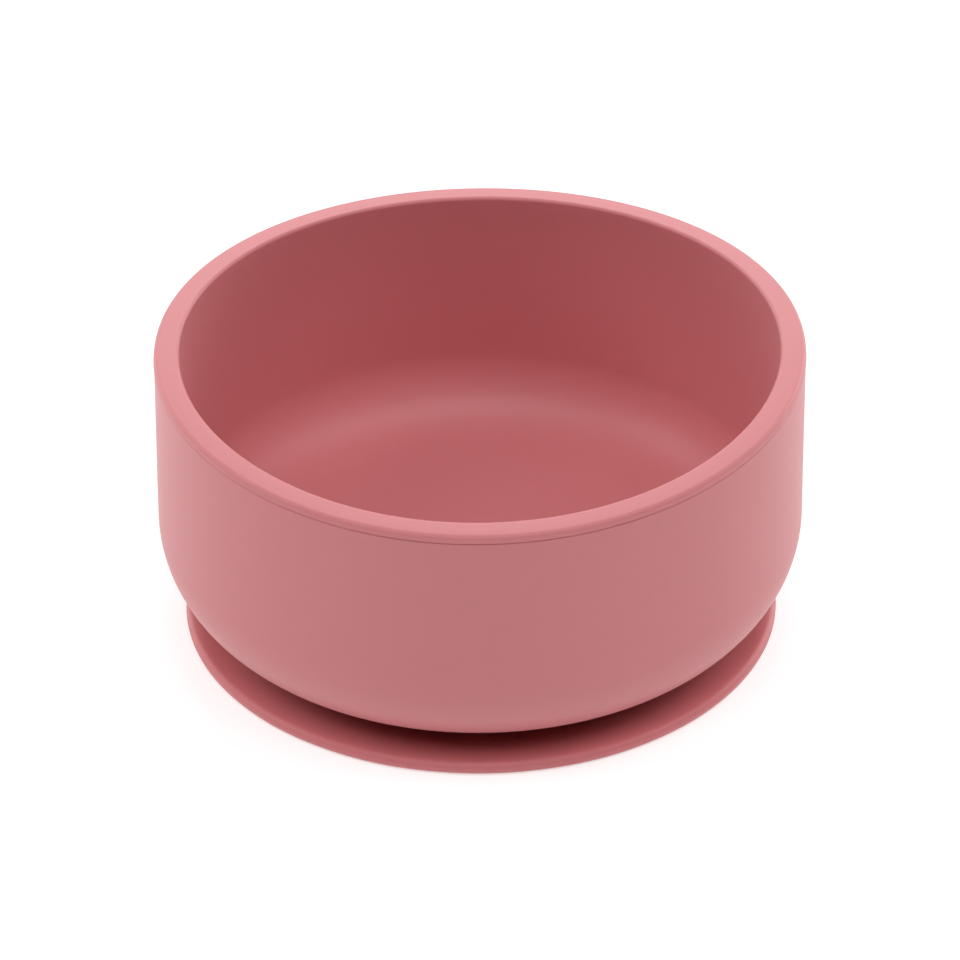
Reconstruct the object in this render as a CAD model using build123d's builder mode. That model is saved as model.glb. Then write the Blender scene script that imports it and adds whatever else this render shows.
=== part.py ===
"""A toddler's suction bowl, in millimetres, standing on a table at z = 0.

Two separately moulded pieces of silicone: a firm bowl, and a softer suction foot whose
spigot sits in a recess under the bowl. +Z is up and the origin is the middle of the ring
that the foot stands on. Pressing the bowl down flattens the foot's hollow web.
"""
from build123d import *
import math
import os

# Bowl
rim_diameter = 130.0          # over the rim band
bowl_height = 62.0            # table to rim
wall_thickness = 5.1          # at the rim
floor_thickness = 4.0         # under the food
corner_radius = 21.4          # outer corner from the wall to the underside
underside_round = 7.3         # tighter stretch where that corner runs into the flat underside
corner_sweep = 60.0           # degrees of the outer corner made by corner_radius
cove_radius = 13.5            # inside, from the wall to the floor
rim_outer_round = 1.0
rim_inner_round = 0.7
parting_line_drop = 1.9       # rim down to the line where the mould's halves met
parting_step = 0.05           # the rim band stands this far out from the wall below the line

# Suction foot
foot_diameter = 120.0
lip_thickness = 2.7           # full-round outer edge of the skirt
lip_width = 2.2               # how far the thick edge reaches in from the outside
lip_slope = 5.0               # further in, over which the top comes down to the web
lip_round = 6.0
web_thickness = 2.0           # skirt inside the lip
web_round = 20.0              # soft hollow between the lip and the web
seal_ring_width = 2.0         # flat ring that touches the table
dome_height = 3.0             # hollow of the underside at its middle
neck_diameter = 56.0          # where the foot meets the bowl
neck_rise = 0.5               # bowl's underside above the web's crown
neck_round = 1.0

# Spigot that locates the foot in the bowl's underside
spigot_diameter = 44.0
spigot_height = 1.4
spigot_clearance = 0.1        # all round the spigot and above it

rim_radius = rim_diameter / 2
inner_radius = rim_radius - wall_thickness
wall_radius = rim_radius - parting_step
foot_radius = foot_diameter / 2
neck_radius = neck_diameter / 2
spigot_radius = spigot_diameter / 2
recess_radius = spigot_radius + spigot_clearance

# Heights above the table, from the foot upwards
underside = dome_height + web_thickness + neck_rise
spigot_top = underside + spigot_height
recess_top = spigot_top + spigot_clearance
food_level = underside + floor_thickness
parting_line = bowl_height - parting_line_drop

# The outer corner is two arcs that meet tangentially. Its top sets where the straight wall
# begins.
sweep = math.radians(corner_sweep)
round_centre_z = underside + underside_round
corner_top = round_centre_z + (corner_radius - underside_round) * math.sin(sweep)
corner_centre_r = wall_radius - corner_radius
round_centre_r = corner_centre_r + (corner_radius - underside_round) * math.cos(sweep)

# The skirt's underside is a shallow dome inside the flat ring
lip_half = lip_thickness / 2
lip_centre = foot_radius - lip_half
seal_inner = lip_centre - seal_ring_width
dome_radius = (seal_inner**2 + dome_height**2) / (2 * dome_height)
lip_inner = foot_radius - lip_width
web_outer = lip_inner - lip_slope


def web_top(radius):
    """Height of the skirt's top face at a distance from the axis."""
    across_dome = min(radius, seal_inner)
    hollow = dome_height - dome_radius + math.sqrt(dome_radius**2 - across_dome**2)
    return hollow + web_thickness


os.makedirs("parts", exist_ok=True)

# Bowl: its half section turned about the upright axis
with BuildPart() as bowl_body:
    with BuildSketch(Plane.XZ):
        with BuildLine():
            FilletPolyline(
                (wall_radius, corner_top),
                (wall_radius, parting_line),
                (rim_radius, parting_line),
                (rim_radius, bowl_height),
                (inner_radius, bowl_height),
                (inner_radius, food_level),
                (0, food_level),
                radius=[0, 0, rim_outer_round, rim_inner_round, cove_radius],
            )
            Polyline(
                (0, food_level),
                (0, recess_top),
                (recess_radius, recess_top),
                (recess_radius, underside),
                (round_centre_r, underside),
            )
            CenterArc((round_centre_r, round_centre_z), underside_round, -90, 90 - corner_sweep)
            CenterArc((corner_centre_r, corner_top), corner_radius, -corner_sweep, corner_sweep)
        make_face()
    revolve(axis=Axis.Z)
bowl_body.part.label = "bowl_body"
export_step(bowl_body.part, "parts/bowl_body.step")

# Suction foot: thin hollow web with a thick rounded lip, a neck and the spigot. The neck's
# fillet leaves part of the neck's short wall straight.
neck_fillet = min(neck_round, 0.8 * (underside - web_top(neck_radius)))
with BuildPart() as suction_foot:
    with BuildSketch(Plane.XZ):
        with BuildLine():
            lip = CenterArc((lip_centre, lip_half), lip_half, -90, 180)
            FilletPolyline(
                lip @ 1,
                (lip_inner, lip_thickness),
                (web_outer, web_top(web_outer)),
                (neck_radius, web_top(neck_radius)),
                (neck_radius, underside),
                (spigot_radius, underside),
                (spigot_radius, spigot_top),
                (0, spigot_top),
                radius=[lip_round, web_round, neck_fillet, 0, 0, 0],
            )
            Line((0, spigot_top), (0, dome_height))
            RadiusArc((0, dome_height), (seal_inner, 0), dome_radius)
            Line((seal_inner, 0), lip @ 0)
        make_face()
    revolve(axis=Axis.Z)
suction_foot.part.label = "suction_foot"
export_step(suction_foot.part, "parts/suction_foot.step")
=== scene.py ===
"""A silicone suction bowl on a pale table, under soft studio light.

Both pieces are turned shapes. Each one's half section is drawn here as lines and arcs in
millimetres, and a Geometry Nodes tree turns it about the upright axis, with the slight
droop that soft silicone has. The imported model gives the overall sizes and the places.
"""
import math

import bpy
from mathutils import Matrix, Vector


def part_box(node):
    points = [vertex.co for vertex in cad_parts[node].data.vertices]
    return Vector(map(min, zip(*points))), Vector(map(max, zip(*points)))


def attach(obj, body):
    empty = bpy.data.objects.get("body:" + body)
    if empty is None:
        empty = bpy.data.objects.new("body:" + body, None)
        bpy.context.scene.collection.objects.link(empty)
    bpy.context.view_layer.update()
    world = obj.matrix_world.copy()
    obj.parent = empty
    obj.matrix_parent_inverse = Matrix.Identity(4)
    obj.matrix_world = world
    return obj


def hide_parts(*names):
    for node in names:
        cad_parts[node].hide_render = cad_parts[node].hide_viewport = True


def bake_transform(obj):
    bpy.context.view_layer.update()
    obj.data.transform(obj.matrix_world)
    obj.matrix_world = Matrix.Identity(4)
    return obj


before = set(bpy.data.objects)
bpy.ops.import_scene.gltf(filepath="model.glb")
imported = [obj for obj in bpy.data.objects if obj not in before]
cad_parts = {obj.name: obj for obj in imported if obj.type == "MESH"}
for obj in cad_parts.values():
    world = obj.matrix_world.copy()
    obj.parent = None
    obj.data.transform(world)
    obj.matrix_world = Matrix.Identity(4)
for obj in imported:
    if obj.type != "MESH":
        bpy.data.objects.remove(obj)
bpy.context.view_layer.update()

MM = 0.001

# ---------------------------------------------------------------- sizes, in millimetres
bowl_low, bowl_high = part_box("bowl_body")
foot_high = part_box("suction_foot")[1]
RIM_RADIUS = bowl_high.x / MM
BOWL_HEIGHT = bowl_high.z / MM
UNDERSIDE = bowl_low.z / MM
FOOT_RADIUS = foot_high.x / MM
SPIGOT_TOP = foot_high.z / MM

WALL = 5.1
FLOOR = 4.0
CORNER = 21.4                 # outer corner, wall to underside
UNDERSIDE_ROUND = 7.3         # its tighter end
CORNER_SWEEP = 60.0           # degrees turned by the wider part
COVE = 13.5                   # inside, from the wall to the floor
RIM_OUTER_ROUND = 1.0
RIM_INNER_ROUND = 0.7
RIM_FALL = 0.4                # the rim's top falls by this much from its inside to its outside
PARTING_DROP = 1.9            # rim down to the mould's parting line
PARTING_STEP = 0.05           # the rim band stands out this far from the wall
PARTING_TUCK = 0.16           # the wall tucks in this far under the line
TUCK_HEIGHT = 0.32            # over this height
TUCK_STEPS = 8
TUCK_LEAD = 0.3               # the wall runs plain up to this far below the tuck
FLASH = 0.05                  # thin ridge that the mould leaves along the line
FLASH_SHAPE = (               # height above the line, share of the ridge's reach
    (0.0, 0.6),
    (0.03, 0.95),
    (0.08, 1.0),
    (0.14, 0.7),
    (0.22, 0.3),
)
FLASH_TOP = 0.35              # plain rim band begins this far above the line

LIP = 2.7                     # thickness of the foot's rounded edge
LIP_WIDTH = 2.2               # how far the thick edge reaches in
LIP_SLOPE = 5.0               # further in, over which the top comes down to the web
LIP_ROUND = 6.0
WEB = 2.0                     # thickness of the skirt inside the lip
WEB_ROUND = 20.0
SEAL_RING = 2.0               # width of the flat ring that stands on the table
DOME = 3.0                    # depth of the hollow underneath, at its middle
NECK_RADIUS = 28.0            # where the foot meets the bowl
NECK_ROUND = 1.0
SPIGOT_RADIUS = 22.0
FIT_GAP = 0.1                 # round the spigot, inside its recess
EDGE_BREAK = 0.15             # softening of hidden sharp corners

TURN_STEPS = 288              # facets round the axis


# ---------------------------------------------------------------- half sections
def arc(centre, radius, start, sweep, steps):
    """Points along an arc: centre (r, z), start and sweep in degrees."""
    points = []
    for i in range(steps + 1):
        angle = math.radians(start + sweep * i / steps)
        points.append((centre[0] + radius * math.cos(angle), centre[1] + radius * math.sin(angle)))
    return points


def line(start, end, steps):
    """Points from start to end, without the first."""
    return [
        (start[0] + (end[0] - start[0]) * i / steps, start[1] + (end[1] - start[1]) * i / steps)
        for i in range(1, steps + 1)
    ]


def rounded(corners, radii, steps=8):
    """An open outline whose inner corners are rounded by arcs of the given radii."""
    outline = [corners[0]]
    for before, corner, after, radius in zip(corners, corners[1:], corners[2:], radii):
        here = Vector(corner)
        back = (Vector(before) - here).normalized()
        on = (Vector(after) - here).normalized()
        half = back.angle(on) / 2
        centre = here + (back + on).normalized() * radius / math.sin(half)
        first = here + back * radius / math.tan(half)
        last = here + on * radius / math.tan(half)
        start = math.degrees(math.atan2(first.y - centre.y, first.x - centre.x))
        end = math.degrees(math.atan2(last.y - centre.y, last.x - centre.x))
        sweep = (end - start + 180) % 360 - 180
        outline += arc(centre, radius, start, sweep, steps)
    return outline + [corners[-1]]


def bowl_section():
    """Half section of the bowl, from the axis underneath, out and up, and in to the axis."""
    inner_radius = RIM_RADIUS - WALL
    wall_radius = RIM_RADIUS - PARTING_STEP
    food_level = UNDERSIDE + FLOOR
    sweep = math.radians(CORNER_SWEEP)
    round_z = UNDERSIDE + UNDERSIDE_ROUND
    corner_top = round_z + (CORNER - UNDERSIDE_ROUND) * math.sin(sweep)
    corner_r = wall_radius - CORNER
    round_r = corner_r + (CORNER - UNDERSIDE_ROUND) * math.cos(sweep)
    cove_top = food_level + COVE
    parting = BOWL_HEIGHT - PARTING_DROP
    recess_r = SPIGOT_RADIUS + FIT_GAP
    recess_z = SPIGOT_TOP + FIT_GAP

    section = rounded(
        [(0, recess_z), (recess_r, recess_z), (recess_r, UNDERSIDE), (round_r, UNDERSIDE)],
        [EDGE_BREAK, EDGE_BREAK],
        steps=3,
    )
    section += arc((round_r, round_z), UNDERSIDE_ROUND, -90, 90 - CORNER_SWEEP, 8)[1:]
    section += arc((corner_r, corner_top), CORNER, -CORNER_SWEEP, CORNER_SWEEP, 26)[1:]
    tuck_start = parting - TUCK_HEIGHT
    section += line((wall_radius, corner_top), (wall_radius, tuck_start - TUCK_LEAD), 14)
    for i in range(TUCK_STEPS + 1):
        share = i / TUCK_STEPS
        depth = PARTING_TUCK * math.sin(share * math.pi / 2) ** 1.5
        section.append((wall_radius - depth, tuck_start + TUCK_HEIGHT * share))
    for rise, reach in FLASH_SHAPE:
        section.append((RIM_RADIUS + FLASH * reach, parting + rise))
    # The rim's last corner only gives the inner wall's direction, so it is left out
    rim = [(RIM_RADIUS, parting + FLASH_TOP), (RIM_RADIUS, BOWL_HEIGHT - RIM_FALL)]
    rim += [(inner_radius, BOWL_HEIGHT), (inner_radius, corner_top)]
    rim_outline = rounded(rim, [RIM_OUTER_ROUND, RIM_INNER_ROUND], steps=12)
    section += rim_outline[:-1]
    section += line(rim_outline[-2], (inner_radius, cove_top), 14)
    section += arc((inner_radius - COVE, cove_top), COVE, 0, -90, 24)[1:]
    section += line((inner_radius - COVE, food_level), (0, food_level), 24)
    return section


def dome_level(radius):
    """Height of the foot's hollow underside at a distance from the axis."""
    ring = FOOT_RADIUS - LIP / 2 - SEAL_RING
    sphere = (ring**2 + DOME**2) / (2 * DOME)
    return DOME - sphere + math.sqrt(sphere**2 - min(radius, ring) ** 2)


def foot_section():
    """Half section of the foot, from the axis underneath, out and up, and in to the axis."""
    lip_half = LIP / 2
    lip_centre = FOOT_RADIUS - lip_half
    ring = lip_centre - SEAL_RING
    section = [(ring * i / 30, dome_level(ring * i / 30)) for i in range(30)]
    section += line((ring, 0), (lip_centre, 0), 4)
    section += arc((lip_centre, lip_half), lip_half, -90, 180, 20)[1:]
    lip_inner = FOOT_RADIUS - LIP_WIDTH
    web_outer = lip_inner - LIP_SLOPE
    corners = [
        (lip_centre, LIP),
        (lip_inner, LIP),
        (web_outer, dome_level(web_outer) + WEB),
        (NECK_RADIUS, dome_level(NECK_RADIUS) + WEB),
        (NECK_RADIUS, UNDERSIDE),
        (SPIGOT_RADIUS, UNDERSIDE),
        (SPIGOT_RADIUS, SPIGOT_TOP),
        (0, SPIGOT_TOP),
    ]
    radii = [LIP_ROUND, WEB_ROUND, NECK_ROUND, EDGE_BREAK, EDGE_BREAK, EDGE_BREAK]
    section += rounded(corners, radii, steps=8)[1:]
    return section


# ---------------------------------------------------------------- node helpers
def link(tree, source, target):
    """Joins an output to an input, or sets the input to a plain value."""
    if isinstance(source, bpy.types.NodeSocket):
        tree.links.new(source, target)
    else:
        target.default_value = source


def add(tree, kind, *inputs, **settings):
    """Adds a node, sets its properties and fills its inputs in order. None skips one."""
    node = tree.nodes.new(kind)
    for name, value in settings.items():
        setattr(node, name, value)
    sockets = [socket for socket in node.inputs if socket.enabled]
    for socket, source in zip(sockets, inputs):
        if source is not None:
            link(tree, source, socket)
    return node


def result(node):
    """First output of a node that is in use."""
    return next(socket for socket in node.outputs if socket.enabled)


def sums(tree, operation, *inputs):
    """Output of a Math node."""
    return result(add(tree, "ShaderNodeMath", *inputs, operation=operation))


# ---------------------------------------------------------------- turning tree
def turning_tree():
    """Turns the half section it is given about the Z axis and lets the soft rim droop."""
    tree = bpy.data.node_groups.new("turn_half_section", "GeometryNodeTree")
    face = tree.interface
    face.new_socket("Half section", in_out="INPUT", socket_type="NodeSocketGeometry")
    for name, kind in (
        ("Facets", "NodeSocketInt"),
        ("Rim lean", "NodeSocketFloat"),
        ("Rim saddle", "NodeSocketFloat"),
        ("Rim nod", "NodeSocketFloat"),
        ("Rim sink", "NodeSocketFloat"),
        ("Rim shift", "NodeSocketFloat"),
        ("Droop from height", "NodeSocketFloat"),
        ("Droop to height", "NodeSocketFloat"),
        ("Edge waver", "NodeSocketFloat"),
        ("Waver from radius", "NodeSocketFloat"),
        ("Waver to radius", "NodeSocketFloat"),
        ("Seed", "NodeSocketFloat"),
        ("Finish", "NodeSocketMaterial"),
    ):
        face.new_socket(name, in_out="INPUT", socket_type=kind)
    face.new_socket("Turned piece", in_out="OUTPUT", socket_type="NodeSocketGeometry")
    given = tree.nodes.new("NodeGroupInput").outputs
    out = tree.nodes.new("NodeGroupOutput")

    # A sheet with one row for each point of the section and one column for each facet
    size = add(tree, "GeometryNodeAttributeDomainSize", given["Half section"])
    rows = size.outputs["Point Count"]
    columns = sums(tree, "ADD", given["Facets"], 1)
    sheet = add(tree, "GeometryNodeMeshGrid", 1.0, 1.0, columns, rows)
    position = result(add(tree, "GeometryNodeInputPosition"))
    place = add(tree, "ShaderNodeSeparateXYZ", position)
    across = sums(tree, "ADD", place.outputs["X"], 0.5)
    along = sums(tree, "ADD", place.outputs["Y"], 0.5)
    angle = sums(tree, "MULTIPLY", across, math.tau)
    row = sums(tree, "ROUND", sums(tree, "MULTIPLY", along, sums(tree, "SUBTRACT", rows, 1)))
    picked = add(tree, "GeometryNodeSampleIndex", given["Half section"], position, row,
                 data_type="FLOAT_VECTOR")
    point = add(tree, "ShaderNodeSeparateXYZ", result(picked))
    radius, height = point.outputs["X"], point.outputs["Z"]

    # Rim droop: a lean to one side, a saddle, a nod to the front and an even sink, and a small
    # shift sideways, all growing from the wall's foot to the rim
    grow = result(add(tree, "ShaderNodeMapRange", height, given["Droop from height"],
                      given["Droop to height"], 0.0, 1.0, interpolation_type="SMOOTHSTEP"))
    lean = sums(tree, "MULTIPLY", given["Rim lean"], sums(tree, "COSINE", angle))
    twice = sums(tree, "MULTIPLY", angle, 2.0)
    saddle = sums(tree, "MULTIPLY", given["Rim saddle"], sums(tree, "COSINE", twice))
    nod = sums(tree, "MULTIPLY", given["Rim nod"], sums(tree, "SINE", angle))
    shape = sums(tree, "ADD", sums(tree, "ADD", lean, saddle), nod)
    droop = sums(tree, "MULTIPLY", grow, sums(tree, "SUBTRACT", shape, given["Rim sink"]))
    shift = sums(tree, "MULTIPLY", grow, given["Rim shift"])

    # Edge waver: soft, uneven in and out, only near the thin edge
    near = result(add(tree, "ShaderNodeMapRange", radius, given["Waver from radius"],
                      given["Waver to radius"], 0.0, 1.0, interpolation_type="SMOOTHSTEP"))
    ring = add(tree, "ShaderNodeCombineXYZ", sums(tree, "COSINE", angle), sums(tree, "SINE", angle),
               given["Seed"])
    noise = add(tree, "ShaderNodeTexNoise", result(ring), 1.6, 1.0, 0.5)
    uneven = sums(tree, "SUBTRACT", noise.outputs[0], 0.5)
    waver = sums(tree, "MULTIPLY", sums(tree, "MULTIPLY", near, given["Edge waver"]), uneven)

    reach = sums(tree, "ADD", radius, waver)
    spot = add(tree, "ShaderNodeCombineXYZ",
               sums(tree, "ADD", sums(tree, "MULTIPLY", reach, sums(tree, "COSINE", angle)), shift),
               sums(tree, "MULTIPLY", reach, sums(tree, "SINE", angle)),
               sums(tree, "ADD", height, droop))
    turned = add(tree, "GeometryNodeSetPosition", sheet.outputs["Mesh"], None, result(spot))
    closed = add(tree, "GeometryNodeMergeByDistance", result(turned))
    closed.inputs["Distance"].default_value = 0.002 * MM
    smooth = add(tree, "GeometryNodeSetShadeSmooth", result(closed))
    whole = add(tree, "GeometryNodeRealizeInstances", result(smooth))
    finished = add(tree, "GeometryNodeSetMaterial", result(whole))
    link(tree, given["Finish"], finished.inputs["Material"])
    link(tree, result(finished), out.inputs[0])
    return tree


def turned_piece(name, section, tree, settings):
    """A plain mesh object made by turning a half section (r, z) in millimetres."""
    points = [(r * MM, 0.0, z * MM) for r, z in section]
    edges = [(i, i + 1) for i in range(len(points) - 1)]
    half = bpy.data.meshes.new(name + "_half_section")
    half.from_pydata(points, edges, [])
    piece = bpy.data.objects.new(name, half)
    bpy.context.scene.collection.objects.link(piece)
    modifier = piece.modifiers.new("turning", "NODES")
    modifier.node_group = tree
    for socket in tree.interface.items_tree:
        if socket.in_out == "INPUT" and socket.name in settings:
            modifier[socket.identifier] = settings[socket.name]
    bpy.context.view_layer.update()
    evaluated = piece.evaluated_get(bpy.context.evaluated_depsgraph_get())
    mesh = bpy.data.meshes.new_from_object(evaluated)
    piece.modifiers.remove(modifier)
    piece.data = mesh
    mesh.name = name
    bpy.data.meshes.remove(half)
    return piece


# ---------------------------------------------------------------- silicone
# Noise scales are in patches a metre
CLOUD_SCALE = 25.0
GRAIN_SCALE = 2600.0
WAVE_SCALE = 140.0
GRAIN_SHARE = 0.25            # depth of the grain beside that of the waves
RELIEF_DEPTH = 0.06 * MM
GLOSS_SPREAD = 0.04
SILICONE_ROUGHNESS = 0.46


def silicone(name, colour, deep_colour, roughness):
    """Matte pigmented silicone: satin mould grain, faint uneven pigment, soft depth."""
    material = bpy.data.materials.new(name)
    material.use_nodes = True
    tree = material.node_tree
    tree.nodes.clear()
    where = tree.nodes.new("ShaderNodeTexCoord").outputs["Object"]

    # Pigment that isn't perfectly stirred
    clouds = add(tree, "ShaderNodeTexNoise", where, None, CLOUD_SCALE, 2.0, 0.5)
    cloud_share = result(add(tree, "ShaderNodeMapRange", clouds.outputs[0], 0.35, 0.65, 0.0, 1.0))
    pigment = add(tree, "ShaderNodeMix", data_type="RGBA")
    link(tree, cloud_share, pigment.inputs["Factor"])
    pigment.inputs[6].default_value = (*colour, 1.0)
    pigment.inputs[7].default_value = (*deep_colour, 1.0)

    # Satin grain of the mould's blasted face, and a slower unevenness of the gloss
    grain = add(tree, "ShaderNodeTexNoise", where, None, GRAIN_SCALE, 2.0, 0.6)
    waves = add(tree, "ShaderNodeTexNoise", where, None, WAVE_SCALE, 2.0, 0.5)
    gloss = add(tree, "ShaderNodeMapRange", waves.outputs[0], 0.3, 0.7,
                roughness - GLOSS_SPREAD, roughness + GLOSS_SPREAD)
    relief = sums(tree, "ADD", sums(tree, "MULTIPLY", grain.outputs[0], GRAIN_SHARE),
                  waves.outputs[0])
    bump = add(tree, "ShaderNodeBump")
    bump.inputs["Strength"].default_value = 0.5
    bump.inputs["Distance"].default_value = RELIEF_DEPTH
    link(tree, relief, bump.inputs["Height"])

    surface = tree.nodes.new("ShaderNodeBsdfPrincipled")
    link(tree, pigment.outputs[2], surface.inputs["Base Color"])
    link(tree, result(gloss), surface.inputs["Roughness"])
    link(tree, result(bump), surface.inputs["Normal"])
    surface.inputs["IOR"].default_value = 1.41
    surface.inputs["Subsurface Weight"].default_value = 0.2
    surface.inputs["Subsurface Radius"].default_value = (1.0, 0.35, 0.3)
    surface.inputs["Subsurface Scale"].default_value = 0.0015
    surface.inputs["Sheen Weight"].default_value = 0.08
    surface.inputs["Sheen Roughness"].default_value = 0.5
    surface.inputs["Sheen Tint"].default_value = (1.0, 0.85, 0.85, 1.0)
    out = tree.nodes.new("ShaderNodeOutputMaterial")
    link(tree, result(surface), out.inputs["Surface"])
    return material


BOWL_COLOUR = (0.60, 0.202, 0.213)
BOWL_DEEP = (0.585, 0.192, 0.203)
# The foot's silicone is a darker, redder copy of the bowl's: painted shade, standing in for the
# shadow and red bounce light under the bowl's overhang
FOOT_SHADED_COLOUR = (0.60, 0.184, 0.193)
FOOT_SHADED_DEEP = (0.585, 0.176, 0.185)
bowl_finish = silicone("rose_silicone_bowl", BOWL_COLOUR, BOWL_DEEP, SILICONE_ROUGHNESS)
# The foot's finish carries that painted shade
foot_shaded_finish = silicone("rose_silicone_foot_shaded", FOOT_SHADED_COLOUR, FOOT_SHADED_DEEP, SILICONE_ROUGHNESS)

# ---------------------------------------------------------------- the two pieces
turning = turning_tree()
WALL_FOOT = 25.0              # height at which the droop starts, level with the wall's foot
WAVER_BAND = 8.0              # the waver grows over this much of the foot's edge
NO_DROOP = {
    "Rim lean": 0.0,
    "Rim saddle": 0.0,
    "Rim nod": 0.0,
    "Rim sink": 0.0,
    "Rim shift": 0.0,
    "Droop from height": 0.5,
    "Droop to height": 1.0,
}
NO_WAVER = {
    "Edge waver": 0.0,
    "Waver from radius": 0.0,
    "Waver to radius": 1.0,
    "Seed": 0.0,
}
bowl = turned_piece("bowl", bowl_section(), turning, {
    "Facets": TURN_STEPS,
    "Rim lean": 0.15 * MM,
    "Rim saddle": 1.09 * MM,
    "Rim nod": 0.28 * MM,
    "Rim sink": 0.44 * MM,
    "Rim shift": 0.2 * MM,
    "Droop from height": WALL_FOOT * MM,
    "Droop to height": BOWL_HEIGHT * MM,
    **NO_WAVER,
    "Finish": bowl_finish,
})
foot = turned_piece("foot", foot_section(), turning, {
    "Facets": TURN_STEPS,
    **NO_DROOP,
    "Edge waver": 0.5 * MM,
    "Waver from radius": (FOOT_RADIUS - WAVER_BAND) * MM,
    "Waver to radius": FOOT_RADIUS * MM,
    "Seed": 4.0,
    "Finish": foot_shaded_finish,
})

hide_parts("bowl_body")
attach(bowl, "bowl")
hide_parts("suction_foot")
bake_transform(foot)


# ---------------------------------------------------------------- table, light and camera
def plain_material(name, colour, roughness, glow):
    """An even matte material that glows a little, for the table."""
    material = bpy.data.materials.new(name)
    material.use_nodes = True
    shader = material.node_tree.nodes["Principled BSDF"]
    shader.inputs["Base Color"].default_value = (*colour, 1.0)
    shader.inputs["Roughness"].default_value = roughness
    shader.inputs["Specular IOR Level"].default_value = 0.2
    shader.inputs["Emission Color"].default_value = (1.0, 1.0, 1.0, 1.0)
    shader.inputs["Emission Strength"].default_value = glow
    return material


TABLE_HALF = 1.3              # metres, as far as the softboxes light it evenly
table_mesh = bpy.data.meshes.new("table")
table_mesh.from_pydata(
    [(-TABLE_HALF, -TABLE_HALF, 0), (TABLE_HALF, -TABLE_HALF, 0),
     (TABLE_HALF, TABLE_HALF, 0), (-TABLE_HALF, TABLE_HALF, 0)],
    [], [(0, 1, 2, 3)],
)
table_mesh.materials.append(plain_material("pale_table", (0.6, 0.6, 0.6), 0.8, 0.52))
table = bpy.data.objects.new("table", table_mesh)
bpy.context.scene.collection.objects.link(table)


def softbox(name, azimuth, elevation, width, height, watts):
    """A softbox 2 m from the bowl and facing it. Azimuth 0 is in front, 90 on the right."""
    turn, lift = math.radians(azimuth), math.radians(elevation)
    away = Vector((
        math.sin(turn) * math.cos(lift),
        -math.cos(turn) * math.cos(lift),
        math.sin(lift),
    ))
    data = bpy.data.lights.new(name, "AREA")
    data.shape = "RECTANGLE"
    data.size = width
    data.size_y = height
    data.energy = watts
    lamp = bpy.data.objects.new(name, data)
    lamp.location = LIGHT_CENTRE + LIGHT_DISTANCE * away
    lamp.rotation_euler = (-away).to_track_quat("-Z", "Y").to_euler()
    bpy.context.scene.collection.objects.link(lamp)


LIGHT_CENTRE = Vector((0, 0, 0.03))
LIGHT_DISTANCE = 2.0
for lamp_settings in (
    # name, azimuth, elevation, width, height, watts
    ("front_top_softbox", 345, 63, 1.5, 1.1, 16.5),
    ("right_top_softbox", 60, 62, 1.1, 1.1, 10),
    ("left_softbox", 270, 38, 1.1, 1.1, 14),
    ("right_softbox", 90, 38, 1.1, 1.1, 8),
    ("back_left_softbox", 225, 16, 1.1, 1.1, 12),
    ("back_right_softbox", 135, 16, 1.1, 1.1, 17),
    ("background_softbox", 180, 32, 1.4, 1.4, 17),
):
    softbox(*lamp_settings)

world = bpy.data.worlds.new("studio")
world.use_nodes = True
world.node_tree.nodes["Background"].inputs["Color"].default_value = (1.0, 1.0, 1.0, 1.0)
world.node_tree.nodes["Background"].inputs["Strength"].default_value = 1.0
# The pale room is seen past the table's edge, and only the softboxes and the table give light
world.cycles_visibility.diffuse = False
world.cycles_visibility.glossy = False
world.cycles_visibility.transmission = False
world.cycles_visibility.scatter = False
scene = bpy.context.scene
scene.world = world
scene.view_settings.view_transform = "Standard"

CAMERA_PLACE = (0, -1.213, 0.8255)
CAMERA_AIM = (0, 0, 0.0304)
CAMERA_ROLL = math.radians(-0.52)
CAMERA_LENS = 269.8           # mm
SENSOR_WIDTH = 36.0           # mm
eye = Vector(CAMERA_PLACE)
ahead = (Vector(CAMERA_AIM) - eye).normalized()
level = ahead.cross(Vector((0, 0, 1))).normalized()
upright = level.cross(ahead)
right = level * math.cos(CAMERA_ROLL) + upright * math.sin(CAMERA_ROLL)
up = right.cross(ahead)
camera_data = bpy.data.cameras.new("camera")
camera_data.lens = CAMERA_LENS
camera_data.sensor_width = SENSOR_WIDTH
camera_data.clip_end = 20.0
camera = bpy.data.objects.new("camera", camera_data)
camera.matrix_world = Matrix((
    (right.x, up.x, -ahead.x, eye.x),
    (right.y, up.y, -ahead.y, eye.y),
    (right.z, up.z, -ahead.z, eye.z),
    (0, 0, 0, 1),
))
scene.collection.objects.link(camera)
scene.camera = camera
